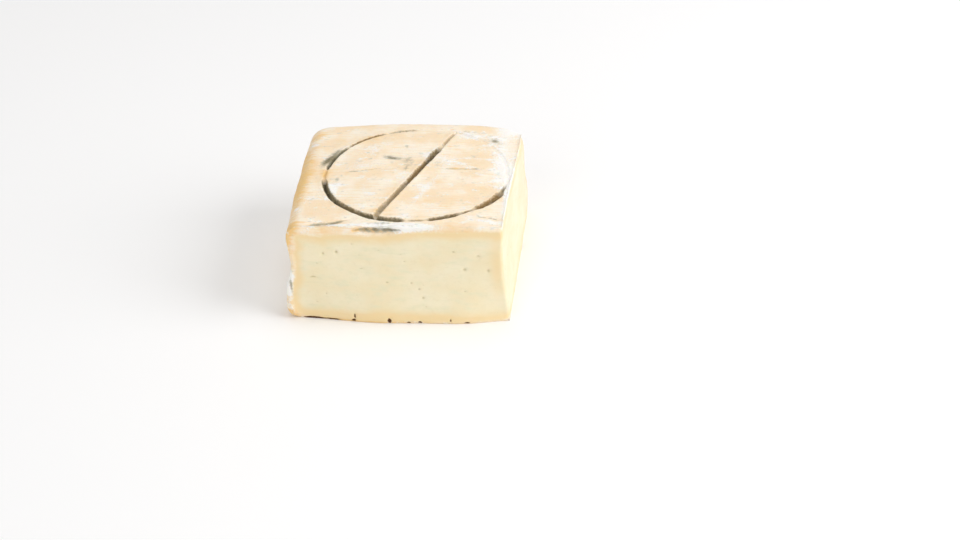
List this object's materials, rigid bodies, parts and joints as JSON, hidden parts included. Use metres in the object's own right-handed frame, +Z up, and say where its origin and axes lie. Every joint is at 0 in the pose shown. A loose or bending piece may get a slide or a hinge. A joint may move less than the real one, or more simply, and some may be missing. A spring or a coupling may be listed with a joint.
{
  "type": "cheese wedge",
  "caption": "Square-cut piece of a soft washed-rind cheese with two smooth cut faces, rounded rind sides and a plain ring pressed into the top.",
  "frame": {"origin": "middle of the underside's bounding rectangle, at the height of the surface it stands on", "axes": "+Z up; -Y out of the front cut face, +X out of the right cut face; -X and +Y out of the rind sides"},
  "size_m": [0.1062, 0.112, 0.0489],
  "materials": {
    "cheese": "ivory paste with a slight moist sheen on the cut faces, dry bloomy peach-ivory rind elsewhere"
  },
  "bodies": {
    "root": {"cheese": "cheese"}
  },
  "joints": []
}
